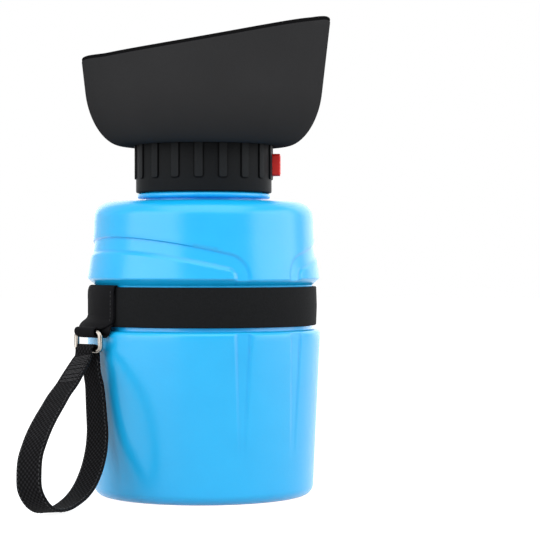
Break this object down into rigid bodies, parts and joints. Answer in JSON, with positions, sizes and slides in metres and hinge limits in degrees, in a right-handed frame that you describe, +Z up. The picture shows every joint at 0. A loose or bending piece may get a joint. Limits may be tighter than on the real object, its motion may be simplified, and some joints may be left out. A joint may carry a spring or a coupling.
{
  "type": "dog travel water bottle",
  "caption": "Squeeze bottle whose screw cap carries a soft slanted drinking bowl, with a push-button valve and a webbing wrist strap hung from an elastic band.",
  "frame": {"origin": "on the bottle's axis, in the plane of the foot that it stands on", "axes": "+Z up along the bottle; +X towards the button and the bowl's high side; the strap hangs at the side of -X and -Y"},
  "size_m": [0.1084, 0.1275, 0.1823],
  "materials": {
    "bottle_plastic": "smooth, satin sky blue",
    "clear_silicone": "milky, satin",
    "cap_plastic": "satin black",
    "button_plastic": "glossy red",
    "seal_rubber": "matte black",
    "bowl_rubber": "soft matte black",
    "elastic_fabric": "fine ribbed elastic",
    "ring_chrome": "polished",
    "webbing": "woven, with dotted edges"
  },
  "bodies": {
    "bottle": {"bottle": "bottle_plastic"},
    "seal": {"neck_gasket": "clear_silicone"},
    "cap": {"collar": "cap_plastic", "valve_block": "cap_plastic", "dip_tube": "clear_silicone", "drinking_bowl": "bowl_rubber", "spout_plate": "cap_plastic"},
    "button": {"cross_button": "button_plastic", "spool_seals": "seal_rubber"},
    "band": {"carry_band": "elastic_fabric", "strap_tab": "elastic_fabric"},
    "ring": {"strap_ring": "ring_chrome"},
    "strap": {"wrist_strap": "webbing"}
  },
  "joints": [
    {"name": "cap_lift", "type": "slide", "parent": "bottle", "child": "seal", "axis": [0, 0, 1], "range_m": [0, 0.0054]},
    {"name": "cap_turn", "type": "hinge", "parent": "seal", "child": "cap", "pos_m": [0, 0, 0.12], "axis": [0, 0, 1], "range_deg": [0, 540]},
    {"name": "button_push", "type": "slide", "parent": "cap", "child": "button", "axis": [-1, 0, 0], "range_m": [0, 0.0028]},
    {"name": "band_turn", "type": "hinge", "parent": "bottle", "child": "band", "pos_m": [0, 0, 0.0723], "axis": [0, 0, 1], "continuous": true},
    {"name": "ring_swing", "type": "hinge", "parent": "band", "child": "ring", "pos_m": [-0.04121, -0.02832, 0.063], "axis": [-0.7826, 0.6225, 0], "range_deg": [0, 60]},
    {"name": "strap_swing", "type": "hinge", "parent": "ring", "child": "strap", "pos_m": [-0.04121, -0.02832, 0.0562], "axis": [-0.7826, 0.6225, 0], "range_deg": [0, 75]}
  ],
  "couplings": [
    {"joint": "cap_lift", "follows": "cap_turn", "m_per_rad": 0.00057296}
  ]
}
